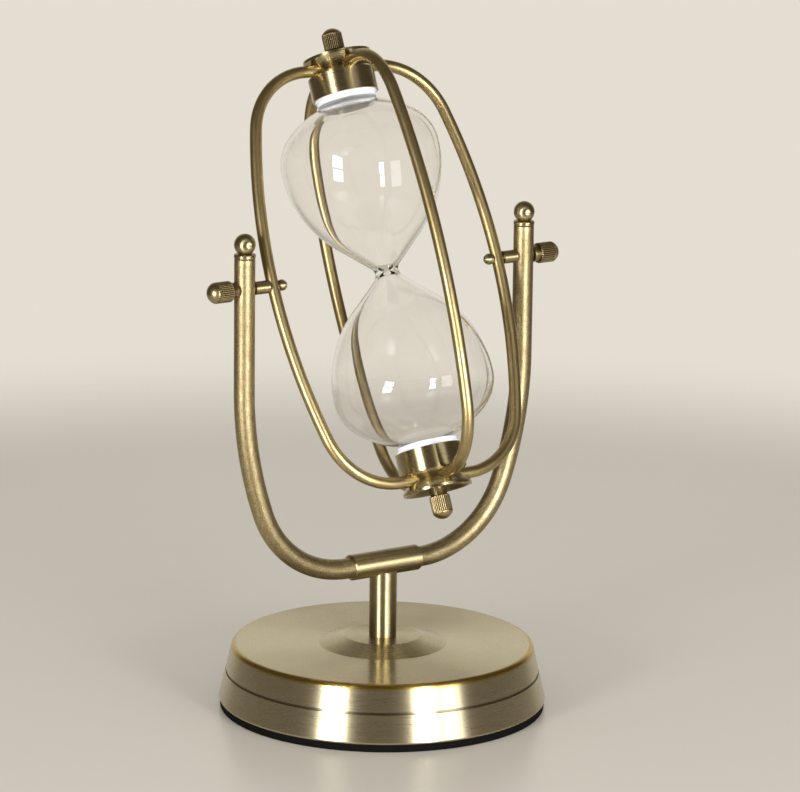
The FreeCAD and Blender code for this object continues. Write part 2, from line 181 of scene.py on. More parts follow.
def barSurface(path, planeNormal, radius, steps, edge):
    # a round bar carried along a plane path, with both ends closed and their edges eased by a small radius
    tangent = np.gradient(path, axis=0)
    tangent /= np.linalg.norm(tangent, axis=1)[:, None]
    ease = np.radians(np.linspace(90, 0, 5))
    # the end rings: back from the end by edge * (1 - cos), smaller by edge * (1 - sin)
    startShift = edge * (1 - np.sin(ease))
    startRadius = radius - edge * (1 - np.cos(ease))
    centre = np.concatenate([
        path[:1], path[:1] + tangent[:1] * startShift[:, None], path[2:-2],
        path[-1:] - tangent[-1:] * startShift[::-1, None], path[-1:],
    ])
    way = np.concatenate([
        tangent[:1], np.repeat(tangent[:1], 5, 0), tangent[2:-2], np.repeat(tangent[-1:], 5, 0), tangent[-1:],
    ])
    size = np.concatenate([[0], startRadius, np.full(len(path) - 4, radius), startRadius[::-1], [0]])
    angle = np.linspace(0, fullTurn, steps, endpoint=False)
    side = np.cross(planeNormal, way)
    across = np.cos(angle)[None, :, None] * side[:, None] + np.sin(angle)[None, :, None] * np.asarray(planeNormal)
    points = centre[:, None] + size[:, None, None] * across
    length = np.concatenate([[0], np.cumsum(np.linalg.norm(np.diff(centre, axis=0), axis=1))])
    # the straightened bar, for patterns that follow it: (length, radius * cos, radius * sin)
    grain = np.stack([
        np.repeat(length[:, None], steps, 1), size[:, None] * np.cos(angle), size[:, None] * np.sin(angle),
    ], -1)
    return gridSurface(points, True, True, grain=grain)


def inPlane(run, across, up, origin):
    return origin + run[:, :1] * np.asarray(across) + run[:, 1:] * np.asarray(up)


def axisPlace(axis, origin, spin=None):
    # turns a piece made about +Z so that it points along an axis from an origin
    axis = np.asarray(axis, float)
    side = np.asarray(spin if spin is not None else cageSide, float)
    if abs(side @ axis) > 0.9:
        side = np.array([0.0, 1.0, 0.0])
    front = np.cross(axis, side)
    front /= np.linalg.norm(front)
    return np.stack([np.cross(front, axis), front, axis], -1), np.asarray(origin, float)


cameraValues = {
    "lens": 203.78, "distance": 1.8, "height": 13.28, "turn": 34.13, "roll": 0.71,
    "aimSide": 0.00582, "aimHeight": 0.12761,
}


def makeCamera(values):
    turn, height, roll = [math.radians(values[key]) for key in ("turn", "height", "roll")]
    stand = np.array([
        [math.cos(turn), math.sin(turn), 0], [-math.sin(turn), math.cos(turn), 0], [0, 0, 1],
    ])
    back = stand @ np.array([0, -math.cos(height), math.sin(height)])
    right = stand @ np.array([1.0, 0, 0])
    up = np.cross(back, right)
    aim = stand @ np.array([values["aimSide"], 0, values["aimHeight"]])
    rolledRight = right * math.cos(roll) + up * math.sin(roll)
    rolledUp = up * math.cos(roll) - right * math.sin(roll)
    place = aim + back * values["distance"]
    camera = bpy.data.objects.new("camera", bpy.data.cameras.new("camera"))
    camera.data.lens = values["lens"]
    camera.data.sensor_width = 36
    camera.data.clip_end = 20
    matrix = np.eye(4)
    matrix[:3, 0], matrix[:3, 1], matrix[:3, 2], matrix[:3, 3] = rolledRight, rolledUp, back, place
    camera.matrix_world = Matrix(matrix.tolist())
    bpy.context.scene.collection.objects.link(camera)
    bpy.context.scene.camera = camera
    return right, np.cross([0, 0, 1], right)


viewRight, viewAway = makeCamera(cameraValues)
print("camera placed")


studioValues = {
    "paleColour": "#E4DED2", "paleStrength": 1.0,
    "floorColour": "#D8D1C4", "floorGloss": 0.28, "fadeStart": 0.42, "fadeEnd": 0.66, "floorRadius": 0.7,
    "roomColour": "#5A5147", "roomStrength": 1.0, "fillStrength": 0.55,
    "patchStart": 0.62, "patchEnd": 0.92,
}
softboxValues = [
    {"name": "softbox_left_low", "turn": -34, "width": 0.36, "low": -0.06, "high": 0.23, "distance": 1.5, "power": 9},
    {"name": "softbox_left_high", "turn": -34, "width": 0.36, "low": 0.28, "high": 0.57, "distance": 1.5, "power": 9},
    {"name": "softbox_right_low", "turn": 31, "width": 0.30, "low": -0.06, "high": 0.23, "distance": 1.5, "power": 9},
    {"name": "softbox_right_high", "turn": 31, "width": 0.30, "low": 0.28, "high": 0.57, "distance": 1.5, "power": 9},
    {"name": "softbox_right_far", "turn": 50, "width": 0.42, "low": -0.06, "high": 0.57, "distance": 1.5, "power": 4.5},
]


def makeSoftbox(values):
    turn = math.radians(values["turn"])
    way = -viewAway * math.cos(turn) + viewRight * math.sin(turn)
    middle = Vector((*(way * values["distance"])[:2], (values["low"] + values["high"]) / 2))
    light = bpy.data.lights.new(values["name"], "AREA")
    light.shape = "RECTANGLE"
    light.size, light.size_y = values["width"], values["high"] - values["low"]
    light.energy = values["power"]
    softbox = bpy.data.objects.new(values["name"], light)
    aim = Vector((0, 0, middle.z)) - middle
    softbox.matrix_world = Matrix.Translation(middle) @ aim.to_track_quat("-Z", "Y").to_matrix().to_4x4()
    softbox.visible_camera = False
    softbox.visible_transmission = False
    bpy.context.scene.collection.objects.link(softbox)


def makeStudio(values):
    # the backdrop is pale all round to the eye and through glass; metal sees the pale part behind
    # the object and a dimmer room at the sides
    world = bpy.data.worlds.new("studio")
    bpy.context.scene.world = world
    world.use_nodes = True
    tree = world.node_tree
    tree.nodes.clear()
    path = addNode(tree, "ShaderNodeLightPath")
    way = addNode(tree, "ShaderNodeTexCoord")
    behind = addNode(tree, "ShaderNodeVectorMath", {"operation": "DOT_PRODUCT"}, {1: viewAway.tolist()},
                     {0: (way, "Generated")})
    patch = addNode(tree, "ShaderNodeMapRange", {"interpolation_type": "SMOOTHSTEP"},
                    {"From Min": values["patchStart"], "From Max": values["patchEnd"]},
                    {"Value": (behind, "Value")})
    pale = toLinear(values["paleColour"])
    room = addNode(tree, "ShaderNodeMix", {"data_type": "RGBA"},
                   {"A": toLinear(values["roomColour"]), "B": pale}, {"Factor": (patch, "Result")})
    fill = [values["fillStrength"]] * 3 + [1]
    seen = addNode(tree, "ShaderNodeMix", {"data_type": "RGBA"}, {"A": fill},
                   {"Factor": (path, "Is Glossy Ray"), "B": (room, "Result")})
    plain = addNode(tree, "ShaderNodeMath", {"operation": "MAXIMUM"},
                    links={0: (path, "Is Camera Ray"), 1: (path, "Is Transmission Ray")})
    colour = addNode(tree, "ShaderNodeMix", {"data_type": "RGBA"}, {"B": pale},
                     {"Factor": (plain, "Value"), "A": (seen, "Result")})
    sky = addNode(tree, "ShaderNodeBackground", inputs={"Strength": values["paleStrength"]},
                  links={"Color": (colour, "Result")})
    addNode(tree, "ShaderNodeOutputWorld", links={"Surface": (sky, "Background")})

    # pale satin laminate: faint mottling, a soft sheen at low angles, and it fades into the backdrop
    material, tree = newMaterial("pale_laminate")
    spot = addNode(tree, "ShaderNodeTexCoord")
    mottle = addNode(tree, "ShaderNodeTexNoise", inputs={"Scale": 60, "Detail": 4}, links={"Vector": (spot, "Object")})
    floorTone = toLinear(values["floorColour"])
    tone = addNode(tree, "ShaderNodeMix", {"data_type": "RGBA"},
                   {"A": [c * 0.985 for c in floorTone[:3]] + [1], "B": floorTone}, {"Factor": (mottle, "Fac")})
    top = addNode(tree, "ShaderNodeBsdfPrincipled", inputs={"Roughness": values["floorGloss"]},
                  links={"Base Color": (tone, "Result")})
    reach = addNode(tree, "ShaderNodeVectorMath", {"operation": "LENGTH"}, links={0: (spot, "Object")})
    fade = addNode(tree, "ShaderNodeMapRange", {"interpolation_type": "SMOOTHSTEP"},
                   {"From Min": values["fadeStart"], "From Max": values["fadeEnd"]}, {"Value": (reach, "Value")})
    clear = addNode(tree, "ShaderNodeBsdfTransparent")
    mixed = addNode(tree, "ShaderNodeMixShader", links={0: (fade, "Result"), 1: (top, "BSDF"), 2: (clear, "BSDF")})
    addNode(tree, "ShaderNodeOutputMaterial", links={"Surface": (mixed, "Shader")})
    angle = np.linspace(0, fullTurn, 96, endpoint=False)
    rim = np.stack([np.cos(angle), np.sin(angle), 0 * angle], -1) * values["floorRadius"]
    mesh = bpy.data.meshes.new("floor")
    mesh.from_pydata(rim.tolist(), [], [list(range(len(rim)))])
    mesh.materials.append(material)
    floor = bpy.data.objects.new("floor", mesh)
    bpy.context.scene.collection.objects.link(floor)


makeStudio(studioValues)
for softbox in softboxValues:
    makeSoftbox(softbox)
bpy.context.scene.view_settings.view_transform = "Standard"
print("studio lit")



def brassMaterial(name, values):
    # cast or drawn brass, machine finished and left to age: metal throughout, no lacquer edge. The eye gets
    # a warm mirror with soft cloudy toning, fine tool lines and darker metal in the hollows.
    material, tree = newMaterial(name)
    if values["follow"] == "bar":
        spot, output = addNode(tree, "ShaderNodeAttribute", {"attribute_name": "grain"}), "Vector"
    else:
        spot, output = addNode(tree, "ShaderNodeTexCoord"), "Object"
    lathe = values.get("lathe")
    if lathe:
        # the pattern's own Z axis is laid along the axis the piece was turned about
        shift = -(Euler(lathe["euler"]).to_matrix() @ Vector(lathe["origin"]))
        spot = addNode(tree, "ShaderNodeMapping", inputs={"Location": shift.to_tuple(), "Rotation": lathe["euler"]},
                       links={"Vector": (spot, output)})
        output = "Vector"
    cloud = addNode(tree, "ShaderNodeTexNoise", inputs={"Scale": 1 / (values["cloudSize"] * mm), "Detail": 5,
                    "Roughness": 0.62}, links={"Vector": (spot, output)})
    speck = addNode(tree, "ShaderNodeTexNoise", inputs={"Scale": 1 / (values["speckSize"] * mm), "Detail": 3,
                    "Roughness": 0.7}, links={"Vector": (spot, output)})
    # tool lines: the pattern is squeezed along one direction so that each line runs on
    if values["lines"] == "round":
        parts = addNode(tree, "ShaderNodeSeparateXYZ", links={"Vector": (spot, output)})
        level = addNode(tree, "ShaderNodeCombineXYZ", links={"X": (parts, "X"), "Y": (parts, "Y")})
        radius = addNode(tree, "ShaderNodeVectorMath", {"operation": "LENGTH"}, links={0: (level, "Vector")})
        angle = addNode(tree, "ShaderNodeMath", {"operation": "ARCTAN2"}, links={0: (parts, "Y"), 1: (parts, "X")})
        share = addNode(tree, "ShaderNodeMath", {"operation": "MULTIPLY"}, {1: values["lineRun"] * mm},
                        {0: (angle, "Value")})
        lineSpot = addNode(tree, "ShaderNodeCombineXYZ",
                           links={"X": (radius, "Value"), "Y": (share, "Value"), "Z": (parts, "Z")})
    else:
        lineSpot = addNode(tree, "ShaderNodeVectorMath", {"operation": "MULTIPLY"}, {1: values["stretch"]},
                           {0: (spot, output)})
    lines = addNode(tree, "ShaderNodeTexNoise", inputs={"Scale": 1 / (values["lineSize"] * mm), "Detail": 2,
                    "Roughness": 0.6}, links={"Vector": (lineSpot, "Vector")})
    worn = addNode(tree, "ShaderNodeMapRange", inputs={"From Min": values["cloudLow"], "From Max": values["cloudHigh"]},
                   links={"Value": (cloud, "Fac")})
    tone = addNode(tree, "ShaderNodeMix", {"data_type": "RGBA"},
                   {"A": toLinear(values["darkColour"]), "B": toLinear(values["brightColour"])},
                   {"Factor": (worn, "Result")})
    dots = addNode(tree, "ShaderNodeMapRange", inputs={"From Min": values["speckLow"], "From Max": values["speckHigh"]},
                   links={"Value": (speck, "Fac")})
    dotted = addNode(tree, "ShaderNodeMix", {"data_type": "RGBA"}, {"A": toLinear(values["speckColour"])},
                     {"Factor": (dots, "Result"), "B": (tone, "Result")})
    # the tool lines hold a little dirt, so they are toned as well
    shade = addNode(tree, "ShaderNodeMapRange", inputs={"From Min": 0.35, "From Max": 0.6, "To Min": values["lineTone"],
                    "To Max": 0.0}, links={"Value": (lines, "Fac")})
    lined = addNode(tree, "ShaderNodeMix", {"data_type": "RGBA"}, {"B": toLinear(values["speckColour"])},
                    {"Factor": (shade, "Result"), "A": (dotted, "Result")})
    if values.get("rimColour"):
        high = addNode(tree, "ShaderNodeMapRange", {"interpolation_type": "SMOOTHSTEP"},
                       {"From Min": values["rimHeight"][0] * mm, "From Max": values["rimHeight"][1] * mm},
                       {"Value": (parts, "Z")})
        wide = addNode(tree, "ShaderNodeMapRange", {"interpolation_type": "SMOOTHSTEP"},
                       {"From Min": values["rimRadius"][0] * mm, "From Max": values["rimRadius"][1] * mm},
                       {"Value": (radius, "Value")})
        rim = addNode(tree, "ShaderNodeMath", {"operation": "MULTIPLY"}, links={0: (high, "Result"), 1: (wide, "Result")})
        lined = addNode(tree, "ShaderNodeMix", {"data_type": "RGBA"}, {"B": toLinear(values["rimColour"])},
                        {"Factor": (rim, "Value"), "A": (lined, "Result")})
    if values.get("grooveHeight"):
        # painted shade: the turned groove round the side is darkened towards the hollow colour, so that it shows as a
        # dark line all round
        off = addNode(tree, "ShaderNodeMath", {"operation": "SUBTRACT"}, {1: values["grooveHeight"] * mm},
                      {0: (parts, "Z")})
        apart = addNode(tree, "ShaderNodeMath", {"operation": "ABSOLUTE"}, links={0: (off, "Value")})
        within = addNode(tree, "ShaderNodeMapRange", {"interpolation_type": "SMOOTHSTEP"},
                         {"From Min": values["grooveHalf"] * mm, "From Max": values["grooveHalf"] * 1.35 * mm,
                          "To Min": 0.6, "To Max": 0.0}, {"Value": (apart, "Value")})
        outer = addNode(tree, "ShaderNodeMath", {"operation": "GREATER_THAN"}, {1: values["grooveRadius"] * mm},
                        {0: (radius, "Value")})
        grooveShade = addNode(tree, "ShaderNodeMath", {"operation": "MULTIPLY"}, links={0: (within, "Result"), 1: (outer, "Value")})
        lined = addNode(tree, "ShaderNodeMix", {"data_type": "RGBA"}, {"B": toLinear(values["hollowColour"])},
                        {"Factor": (grooveShade, "Value"), "A": (lined, "Result")})
    hollow = addNode(tree, "ShaderNodeAttribute", {"attribute_name": "hollow"})
    colour = addNode(tree, "ShaderNodeMix", {"data_type": "RGBA"}, {"B": toLinear(values["hollowColour"])},
                     {"Factor": (hollow, "Fac"), "A": (lined, "Result")})
    rough = addNode(tree, "ShaderNodeMapRange", inputs={"From Min": 0.25, "From Max": 0.75,
                    "To Min": values["roughHigh"], "To Max": values["roughLow"]}, links={"Value": (cloud, "Fac")})
    rougher = addNode(tree, "ShaderNodeMath", {"operation": "MULTIPLY_ADD"}, {1: values["lineRough"]},
                      {0: (lines, "Fac"), 2: (rough, "Result")})
    relief = addNode(tree, "ShaderNodeMath", {"operation": "MULTIPLY_ADD"}, {1: values["speckRelief"]},
                     {0: (dots, "Result"), 2: (lines, "Fac")})
    bump = addNode(tree, "ShaderNodeBump", inputs={"Strength": values["bump"], "Distance": values["relief"] * mm},
                   links={"Height": (relief, "Value")})
    shader = addNode(tree, "ShaderNodeBsdfPrincipled", inputs={"Metallic": 1.0, "Anisotropic": values["anisotropic"]},
                     links={"Base Color": (colour, "Result"), "Roughness": (rougher, "Value"),
                            "Normal": (bump, "Normal")})
    if values["anisotropic"]:
        # tool lines run round the axis, so light spreads across them: along normal x line direction
        less = addNode(tree, "ShaderNodeMath", {"operation": "MULTIPLY"}, {1: -1.0}, {0: (parts, "Y")})
        around = addNode(tree, "ShaderNodeCombineXYZ", links={"X": (less, "Value"), "Y": (parts, "X")})
        back = addNode(tree, "ShaderNodeVectorRotate", {"rotation_type": "EULER_XYZ", "invert": True},
                       {"Rotation": lathe["euler"] if lathe else (0, 0, 0)}, {"Vector": (around, "Vector")})
        laid = addNode(tree, "ShaderNodeVectorTransform",
                       {"vector_type": "VECTOR", "convert_from": "OBJECT", "convert_to": "WORLD"},
                       links={"Vector": (back, "Vector")})
        face = addNode(tree, "ShaderNodeNewGeometry")
        across = addNode(tree, "ShaderNodeVectorMath", {"operation": "CROSS_PRODUCT"},
                         links={0: (face, "Normal"), 1: (laid, "Vector")})
        tree.links.new(across.outputs["Vector"], shader.inputs["Tangent"])
    finishMaterial(tree, shader)
    return material


cageLathe = {"origin": tuple(pivot), "euler": (math.atan2(cageUp[1], cageUp[2]), 0, 0)}
sleeveLathe = {"origin": (0, 0, 59.0 * mm), "euler": (0, -math.pi / 2, 0)}
pivotLathe = {"origin": tuple(pivot), "euler": (0, -math.pi / 2, 0)}

# brushed on a lathe: lines 0.1 mm apart run round, drawn 0.3 mm here so that they show; the top rim is rubbed gold
satinBrass = brassMaterial("brushed_satin_brass", {
    "follow": "object", "lines": "round", "lineSize": 0.3, "lineRun": 2.0, "lineRough": 0.10, "lineTone": 0.22,
    "cloudSize": 30, "cloudLow": 0.2, "cloudHigh": 0.8, "darkColour": "#C0B595", "brightColour": "#CABF9F",
    "speckSize": 0.8, "speckLow": 0.18, "speckHigh": 0.24, "speckColour": "#A2957A", "hollowColour": "#3A301C",
    "roughLow": 0.22, "roughHigh": 0.25, "speckRelief": 0.0, "bump": 0.08, "relief": 0.03, "anisotropic": 0.85,
    "rimHeight": (23.3, 24.8), "rimRadius": (58.4, 59.9), "rimColour": "#B89B52",
    # the painted shade in the side groove: its height, its half width, and the radius outside which it is painted
    "grooveHeight": 15.0, "grooveHalf": 0.45, "grooveRadius": 61.0,
})
# the boss, post, sleeve and finials: satin turned and darkened by age, toning in clouds about 6 mm wide
turnedBrass = {
    "follow": "object", "lines": "round", "lineSize": 0.3, "lineRun": 2.0, "lineRough": 0.08, "lineTone": 0.35,
    "cloudSize": 6, "cloudLow": 0.25, "cloudHigh": 0.75, "darkColour": "#AB9D76", "brightColour": "#C4B68E",
    "speckSize": 0.6, "speckLow": 0.22, "speckHigh": 0.34, "speckColour": "#86754E", "hollowColour": "#3A2C12",
    "roughLow": 0.32, "roughHigh": 0.40, "speckRelief": 0.2, "bump": 0.10, "relief": 0.04, "anisotropic": 0.85,
}
agedBrass = brassMaterial("satin_aged_brass", turnedBrass)
sleeveBrass = brassMaterial("satin_aged_brass_sleeve", {**turnedBrass, "lathe": sleeveLathe})
pivotBrass = brassMaterial("satin_aged_brass_pivot", {**turnedBrass, "lathe": pivotLathe})
bossBrass = brassMaterial("satin_aged_brass_boss", {
    **turnedBrass, "darkColour": "#B2A785", "brightColour": "#BFB391", "roughLow": 0.20, "roughHigh": 0.25})
agedCageBrass = brassMaterial("satin_aged_brass_on_cage", {
    **turnedBrass, "lathe": cageLathe, "roughLow": 0.22, "roughHigh": 0.28})
# cold-drawn bar, bent by hand: draw lines run along it
drawnBrass = brassMaterial("drawn_brass_bar", {
    "follow": "bar", "lines": "along", "stretch": (0.04, 1, 1), "lineSize": 0.3, "lineRough": 0.10, "lineTone": 0.4,
    "cloudSize": 7, "cloudLow": 0.3, "cloudHigh": 0.7, "darkColour": "#AB9868", "brightColour": "#C6B384",
    "speckSize": 0.45, "speckLow": 0.27, "speckHigh": 0.42, "speckColour": "#846F46", "hollowColour": "#3A2C12",
    "roughLow": 0.28, "roughHigh": 0.37, "speckRelief": 0.3, "bump": 0.10, "relief": 0.05, "anisotropic": 0.0,
})
# the thick bar has gone dull: brown clouds 5 mm wide and a fine grain of pits
patinatedBrass = brassMaterial("patinated_brass_bar", {
    "follow": "bar", "lines": "along", "stretch": (0.25, 1, 1), "lineSize": 0.5, "lineRough": 0.12, "lineTone": 0.4,
    "cloudSize": 5, "cloudLow": 0.3, "cloudHigh": 0.7, "darkColour": "#A1906A", "brightColour": "#BFAF88",
    "speckSize": 0.6, "speckLow": 0.33, "speckHigh": 0.5, "speckColour": "#75643F", "hollowColour": "#33260F",
    "roughLow": 0.32, "roughHigh": 0.42, "speckRelief": 0.8, "bump": 0.22, "relief": 0.07, "anisotropic": 0.0,
})
# cut grips: the tops of the ridges are handled bright, dirt stays between them
gripBrass = brassMaterial("knurled_brass", {
    "follow": "object", "lines": "along", "stretch": (1, 1, 1), "lineSize": 0.5, "lineRough": 0.08, "lineTone": 0.3,
    "cloudSize": 3, "cloudLow": 0.3, "cloudHigh": 0.7, "darkColour": "#A08E66", "brightColour": "#BDAB80",
    "speckSize": 0.5, "speckLow": 0.3, "speckHigh": 0.42, "speckColour": "#7A6947", "hollowColour": "#54462C",
    "roughLow": 0.24, "roughHigh": 0.34, "speckRelief": 0.5, "bump": 0.15, "relief": 0.05, "anisotropic": 0.0,
})


def foamMaterial(name, values):
    # closed-cell foam, cut from sheet: matt all over, with cells a fraction of a millimetre wide
    material, tree = newMaterial(name)
    spot = addNode(tree, "ShaderNodeTexCoord")
    cells = addNode(tree, "ShaderNodeTexVoronoi", inputs={"Scale": 1 / (values["cellSize"] * mm)},
                    links={"Vector": (spot, "Object")})
    cloud = addNode(tree, "ShaderNodeTexNoise", inputs={"Scale": 1 / (values["cloudSize"] * mm), "Detail": 4},
                    links={"Vector": (spot, "Object")})
    tone = addNode(tree, "ShaderNodeMix", {"data_type": "RGBA"},
                   {"A": toLinear(values["darkColour"]), "B": toLinear(values["brightColour"])},
                   {"Factor": (cloud, "Fac")})
    rough = addNode(tree, "ShaderNodeMapRange", inputs={"To Min": values["roughLow"], "To Max": values["roughHigh"]},
                    links={"Value": (cloud, "Fac")})
    bump = addNode(tree, "ShaderNodeBump", inputs={"Strength": values["bump"], "Distance": values["cellSize"] * mm / 3},
                   links={"Height": (cells, "Distance")})
    shader = addNode(tree, "ShaderNodeBsdfPrincipled", inputs={"IOR": 1.45, "Specular IOR Level": values["specular"]},
                     links={"Base Color": (tone, "Result"), "Roughness": (rough, "Result"),
                            "Normal": (bump, "Normal")})
    finishMaterial(tree, shader)
    return material


whiteFoam = foamMaterial("white_polyethylene_foam", {
    "cellSize": 0.5, "cloudSize": 4, "darkColour": "#DCDCE2", "brightColour": "#F1F1F5",
    "roughLow": 0.55, "roughHigh": 0.7, "bump": 0.15, "specular": 0.5,
})
blackFoam = foamMaterial("black_eva_foam", {
    "cellSize": 0.45, "cloudSize": 6, "darkColour": "#080707", "brightColour": "#110F0E",
    "roughLow": 0.85, "roughHigh": 1.0, "bump": 0.5, "specular": 0.12,
})


def glassMaterial(name, values):
    # lamp-blown borosilicate: clear, thin, with faint waves a centimetre wide from the blowing
    material, tree = newMaterial(name)
    spot = addNode(tree, "ShaderNodeTexCoord")
    wave = addNode(tree, "ShaderNodeTexNoise", inputs={"Scale": 1 / (values["waveSize"] * mm), "Detail": 2},
                   links={"Vector": (spot, "Object")})
    tone = addNode(tree, "ShaderNodeMix", {"data_type": "RGBA"},
                   {"A": toLinear(values["edgeColour"]), "B": toLinear(values["clearColour"])},
                   {"Factor": (wave, "Fac")})
    rough = addNode(tree, "ShaderNodeMapRange", inputs={"To Min": 0.0, "To Max": values["rough"]},
                    links={"Value": (wave, "Fac")})
    bump = addNode(tree, "ShaderNodeBump", inputs={"Strength": values["bump"], "Distance": values["relief"] * mm},
                   links={"Height": (wave, "Fac")})
    shader = addNode(tree, "ShaderNodeBsdfPrincipled", inputs={"IOR": 1.4, "Transmission Weight": 1.0},
                     links={"Base Color": (tone, "Result"), "Roughness": (rough, "Result"),
                            "Normal": (bump, "Normal")})
    finishMaterial(tree, shader)
    return material


clearGlass = glassMaterial("blown_borosilicate_glass", {
    "waveSize": 9, "edgeColour": "#FBF9F5", "clearColour": "#FFFFFF", "rough": 0.015, "bump": 0.12, "relief": 0.12,
})


def hiddenMetal(name, values):
    # metal inside the base and hubs: rough as cast, or turned and plated
    material, tree = newMaterial(name)
    spot = addNode(tree, "ShaderNodeTexCoord")
    grit = addNode(tree, "ShaderNodeTexNoise", inputs={"Scale": 1 / (values["gritSize"] * mm), "Detail": 5},
                   links={"Vector": (spot, "Object")})
    tone = addNode(tree, "ShaderNodeMix", {"data_type": "RGBA"},
                   {"A": toLinear(values["darkColour"]), "B": toLinear(values["brightColour"])},
                   {"Factor": (grit, "Fac")})
    rough = addNode(tree, "ShaderNodeMapRange", inputs={"To Min": values["roughLow"], "To Max": values["roughHigh"]},
                    links={"Value": (grit, "Fac")})
    bump = addNode(tree, "ShaderNodeBump", inputs={"Strength": values["bump"], "Distance": values["gritSize"] * mm / 4},
                   links={"Height": (grit, "Fac")})
    shader = addNode(tree, "ShaderNodeBsdfPrincipled", inputs={"Metallic": 1.0},
                     links={"Base Color": (tone, "Result"), "Roughness": (rough, "Result"),
                            "Normal": (bump, "Normal")})
    finishMaterial(tree, shader)
    return material


castIron = hiddenMetal("sand_cast_iron", {
    "gritSize": 0.8, "darkColour": "#3A3735", "brightColour": "#5C5855", "roughLow": 0.55, "roughHigh": 0.8, "bump": 0.6,
})
platedSteel = hiddenMetal("zinc_plated_steel", {
    "gritSize": 1.5, "darkColour": "#9A9A9C", "brightColour": "#BDBDC0", "roughLow": 0.3, "roughHigh": 0.45, "bump": 0.2,
})
print("materials made:", len(bpy.data.materials))


finishes = {
    satinBrass: ["base_shell"],
    bossBrass: ["post_boss"],
    agedBrass: ["post", "finial_left", "finial_right"],
    sleeveBrass: ["yoke_sleeve"],
    pivotBrass: ["pivot_spacer_left", "pivot_spacer_right", "pivot_cap_left", "pivot_cap_right"],
    agedCageBrass: ["hub_cup_top", "hub_cup_bottom", "hub_flange_top", "hub_flange_bottom"],
    castIron: ["base_weight"],
    platedSteel: ["base_washer", "base_nut", "hub_stud_top", "hub_stud_bottom"],
}
for material, names in finishes.items():
    for name in names:
        mesh = nodes[name].data
        mesh.materials.clear()
        mesh.materials.append(material)
print("finishes on the turned pieces")


yokeValues = {
    "radius": 4.1, "sleeveHeight": 59.0, "halfSpan": 66.2, "flatHalf": 17.8, "sideRadius": 150.0,
    "sideTurn": 20.0, "top": 190.3, "edge": 0.4, "ringSteps": 64,
}


def yokeRun(values):
    # half the centre line: along the sleeve, a tight corner, a long easy bend, and straight up; then mirrored
    turn = math.radians(values["sideTurn"])
    kneeReach = values["halfSpan"] - values["sideRadius"] * (1 - math.cos(turn))
    cornerRadius = (kneeReach - values["flatHalf"]) / math.cos(turn)
    cornerHeight = values["sleeveHeight"] + cornerRadius
    footHeight = cornerHeight - cornerRadius * math.sin(turn) + values["sideRadius"] * math.sin(turn)
    flat = np.stack([np.linspace(0, values["flatHalf"], 12), np.full(12, values["sleeveHeight"])], -1)
    corner = arcRun((values["flatHalf"], cornerHeight), cornerRadius, -90, -values["sideTurn"], 60)
    side = arcRun((values["halfSpan"] - values["sideRadius"], footHeight), values["sideRadius"], -values["sideTurn"], 0, 40)
    arm = np.stack([np.full(40, values["halfSpan"]), np.linspace(footHeight, values["top"], 40)], -1)
    half = joinRuns(flat, corner, side, arm)
    return np.concatenate([half[:0:-1] * [-1, 1], half]) * mm


yokeBar = makePiece(
    "bent_yoke_bar",
    [barSurface(inPlane(yokeRun(yokeValues), (1, 0, 0), (0, 0, 1), np.zeros(3)), (0, -1, 0), yokeValues["radius"] * mm,
                yokeValues["ringSteps"], yokeValues["edge"] * mm)],
    patinatedBrass, "stand", ["yoke_bar"])
print("yoke bar bent")


rodValues = {
    "radius": 2.38, "halfWidth": 53.2, "sideRadius": 235.0, "sideTurn": 15.5, "hubHeight": 83.9, "innerEnd": 5.0,
    "edge": 0.3, "ringSteps": 48,
    "places": {"right": 0.0, "left": 180.0, "front": -99.0, "back": 81.0},
}


def rodRun(values):
    # out of the hub, round a shoulder, down the flat side, and the same again below
    turn = math.radians(values["sideTurn"])
    knee = (values["halfWidth"] - values["sideRadius"] * (1 - math.cos(turn)), values["sideRadius"] * math.sin(turn))
    cornerRadius = (values["hubHeight"] - knee[1]) / (1 - math.sin(turn))
    bendStart = knee[0] - cornerRadius * math.cos(turn)
    flat = np.stack([np.linspace(values["innerEnd"], bendStart, 14), np.full(14, values["hubHeight"])], -1)
    corner = arcRun((bendStart, values["hubHeight"] - cornerRadius), cornerRadius, 90, values["sideTurn"], 48)
    side = arcRun((values["halfWidth"] - values["sideRadius"], 0), values["sideRadius"], values["sideTurn"], 0, 36)
    half = joinRuns(flat, corner, side)
    return np.concatenate([half, half[-2::-1] * [1, -1]]) * mm


for name, azimuth in rodValues["places"].items():
    angle = math.radians(azimuth)
    out = cageSide * math.cos(angle) + cageFront * math.sin(angle)
    rodPath = inPlane(rodRun(rodValues), out, cageUp, pivot)
    makePiece("bent_rod_" + name,
              [barSurface(rodPath, np.cross(out, cageUp), rodValues["radius"] * mm, rodValues["ringSteps"],
                          rodValues["edge"] * mm)],
              drawnBrass, "cage", ["cage_rod_" + name])
print("cage rods bent")


flutedValues = {"count": 30, "depth": 0.24, "stepsEach": 8, "fade": 0.5}
clampValues = {
    "radius": 4.15, "neckRadius": 3.3, "neckFoot": 70.4, "neckLength": 2.6, "gripLength": 6.9, "domeHeight": 2.9,
    "edge": 0.35, "shankRadius": 1.2, "shankEnd": 48.75,
}
thumbNutValues = {
    "radius": 4.05, "neckRadius": 3.4, "neckFoot": 87.3, "neckLength": 4.0, "gripLength": 6.8, "domeHeight": 2.48,
    "edge": 0.35,
}


